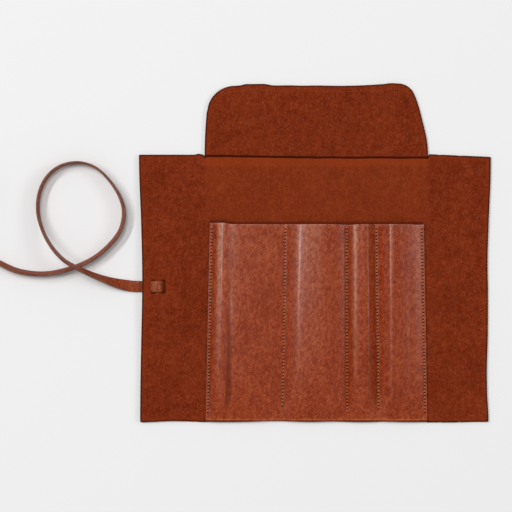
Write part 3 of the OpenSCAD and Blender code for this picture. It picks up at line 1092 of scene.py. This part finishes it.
def front_wear_and_highlights(x, y):
    """How pale the front's grain is painted: wear and a painted highlight along its mouths, a paler line
    along its sides, and painted highlights and sheen at the listed places.
    """
    from_side = np.minimum(x - x[:1], x[-1:] - x)
    from_mouth = y - MOUTH_Y - mouth_wave(x)
    broken = 0.78 + 0.34 * np.sin(x / 2.9) * np.sin(x / 7.3 + 1.0)
    # Wear and a painted highlight make a pale broken line along the mouths' lip; the sides get a fainter
    # pale line.
    worn = 0.55 * broken * bell(from_mouth, 0, 0.9) + 0.15 * bell(from_side, 0, 0.9)
    for at_x, at_y, half_x, half_y, share in PAINTED_HIGHLIGHTS:
        worn = worn + share * bell(x, at_x, half_x) * bell(y, at_y, half_y)
    return np.clip(worn, 0, 1)


def build_front(materials):
    columns, outer, inner, folds = front_surface()
    # The grid runs down the front, so its rows are turned over to keep the outside up.
    outer, inner, folds = outer[:, ::-1], inner[:, ::-1], folds[:, ::-1]
    interval = np.array([k for k, _, _ in columns[1:]])
    label = np.where(interval <= 4, 0, np.where(interval <= 7, 1, 2))
    label = np.repeat(label[:, None], outer.shape[1] - 1, axis=1)
    y, upper = outer[:, :, 1], outer[:, :, 2] > 1.0
    # Wear and painted highlights and sheen, on the front's upper outside only.
    worn = front_wear_and_highlights(outer[:, :, 0], y) * upper
    # Near the bottom fold and where the front turns under, rim falls to nothing, for the grain's painted
    # shade there.
    rim = np.where(upper, np.clip((y - FOLD_Y + 0.6) / 10, 0, 1) + 0.02, 0.02)
    attributes = {"rim": rim, "worn": worn, "crease": folds}
    for n, (left, right, nodes) in enumerate(FRONT_PIECES):
        piece = slab(f"pocket_leather_{n + 1}", outer, inner, label, n, materials, attributes)
        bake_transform(piece)
        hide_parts(*nodes)


# ---- stitches


def capsule(points, faces, slots, a, b, high, half_width, slot, bury=0.25, way=1.0):
    """Adds a short raised thread from a to b, arched up by high."""
    rings, around = 6, 8
    first = len(points)
    along = unit(b - a)
    across = unit(np.cross(UP, along))
    for r in range(rings):
        u = (r + 0.5) / rings
        size = math.sin(math.pi * u) ** 0.45
        centre = a + (b - a) * u + UP * way * (high * math.sin(math.pi * u) ** 0.7 - bury)
        for k in range(around):
            t = 2 * math.pi * k / around
            points.append(centre + across * half_width * size * math.cos(t) + UP * 0.30 * size * math.sin(t))
    for r in range(rings - 1):
        for k in range(around):
            p, q = first + r * around + k, first + r * around + (k + 1) % around
            faces.append([p, q, q + around, p + around])
            slots.append(slot)
    faces.append([first + around - 1 - k for k in range(around)])
    faces.append([first + (rings - 1) * around + k for k in range(around)])
    slots.extend([slot, slot])


def lens(points, faces, slots, centre, radius, thick, slot):
    """Adds a flat round closed lens, for a needle hole."""
    around, first = 8, len(points)
    points.append(centre + UP * thick)
    points.append(centre - UP * thick)
    for k in range(around):
        t = 2 * math.pi * k / around
        points.append(centre + np.array([radius * math.cos(t), radius * 0.8 * math.sin(t), 0.0]))
    for k in range(around):
        p, q = first + 2 + k, first + 2 + (k + 1) % around
        faces.append([first, p, q])
        faces.append([first + 1, q, p])
        slots.extend([slot, slot])


STITCH_BODIES = ["panel_1", "panel_1", "panel_2", "panel_3", "panel_4"]
# How far over the fold each seam's first stitch shows.
STITCH_FEET = [7, 13, 7, 10, 6]
STITCH_SEED = 4


def build_stitches(materials):
    rng = np.random.default_rng(STITCH_SEED)
    count = int((POCKET_L - 2) // STITCH_PITCH)
    for k in range(5):
        points, faces, slots = [], [], []
        for i in range(count):
            y = FOLD_Y + 3 + i * STITCH_PITCH
            sway = rng.normal(0, 0.07, 2)
            a = np.array([seam_x(k, y) - 0.42 + sway[0], y + 0.30, 0.0])
            b = np.array([seam_x(k, y + 2.4) + 0.42 + sway[1], y + 2.50, 0.0])
            if y > FOLD_Y + STITCH_FEET[k]:
                over = UP * LAND_Z
                capsule(points, faces, slots, a + over, b + over, 0.42, 0.46, 0)
                hole = np.array([seam_x(k, y - 0.1), y - 0.1, LAND_Z])
                lens(points, faces, slots, hole, 0.85, 0.10, 1)
            capsule(points, faces, slots, a, b, 0.30, 0.42, 0, 0.22, -1.0)
        piece = make_object(f"stitches_{k + 1}", points, faces, materials, slots)
        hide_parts(f"seam_thread_{k + 1}")
        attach(piece, STITCH_BODIES[k])


# ---- light and floor


LIGHT_AIM = (-0.02, -0.02, 0)
WORLD_STRENGTH = 0.34
FLOOR_HALF = 6
# The floor lies just under the lowest leather.
FLOOR_Z = -0.0006


def area_light(name, place, width, length, power):
    data = bpy.data.lights.new(name, "AREA")
    data.shape = "RECTANGLE"
    data.size = width
    data.size_y = length
    data.energy = power
    light = add_object(name, data)
    light.location = place
    light.rotation_euler = (Vector(LIGHT_AIM) - Vector(place)).to_track_quat("-Z", "Y").to_euler()


def build_studio():
    world = bpy.data.worlds.new("studio")
    world.use_nodes = True
    background = world.node_tree.nodes["Background"]
    background.inputs["Color"].default_value = (1, 1, 1, 1)
    background.inputs["Strength"].default_value = WORLD_STRENGTH
    bpy.context.scene.world = world
    area_light("left_softbox", (-3.00, 1.40, 4.40), 3.6, 0.22, 122)
    area_light("top_softbox", (-0.60, 1.10, 4.80), 1.5, 1.1, 70)
    area_light("right_softbox", (4.70, 0.50, 3.20), 1.8, 1.6, 52)
    mesh = bpy.data.meshes.new("floor")
    corners = [(x * FLOOR_HALF, y * FLOOR_HALF, 0) for x, y in ((-1, -1), (1, -1), (1, 1), (-1, 1))]
    mesh.from_pydata(corners, [], [(0, 1, 2, 3)])
    mesh.materials.append(floor_material())
    floor = add_object("floor", mesh)
    floor.location.z = FLOOR_Z
    bpy.context.scene.view_settings.view_transform = "Standard"


# ---- the scene

make_camera()
strap_tones = [(0.165, 0.0220, 0.0040), (0.245, 0.0370, 0.0062), (0.310, 0.0600, 0.0120)]
front_tones = [(0.192, 0.0195, 0.0018), (0.280, 0.0360, 0.0055), (0.385, 0.0700, 0.0175)]
strap_grain = grain_material("strap_grain", *strap_tones, 0.10, (0.45, 0.6), gloss=0.15, coat=0.05)
strap_edge = edge_material("strap_edge", (0.095, 0.036, 0.022), (0.250, 0.120, 0.078))
suede = suede_material()
build_strap([strap_grain, suede, strap_edge])
build_woven_end([strap_grain, suede, strap_edge])
grain = grain_material("grain", *front_tones, sheen=0.36)
burnished = edge_material("burnished_edge", (0.035, 0.0055, 0.0018), (0.110, 0.0200, 0.0070))
build_back([suede, grain, burnished])
build_front([grain, suede, burnished])
build_stitches([thread_material(), hole_material()])
build_studio()
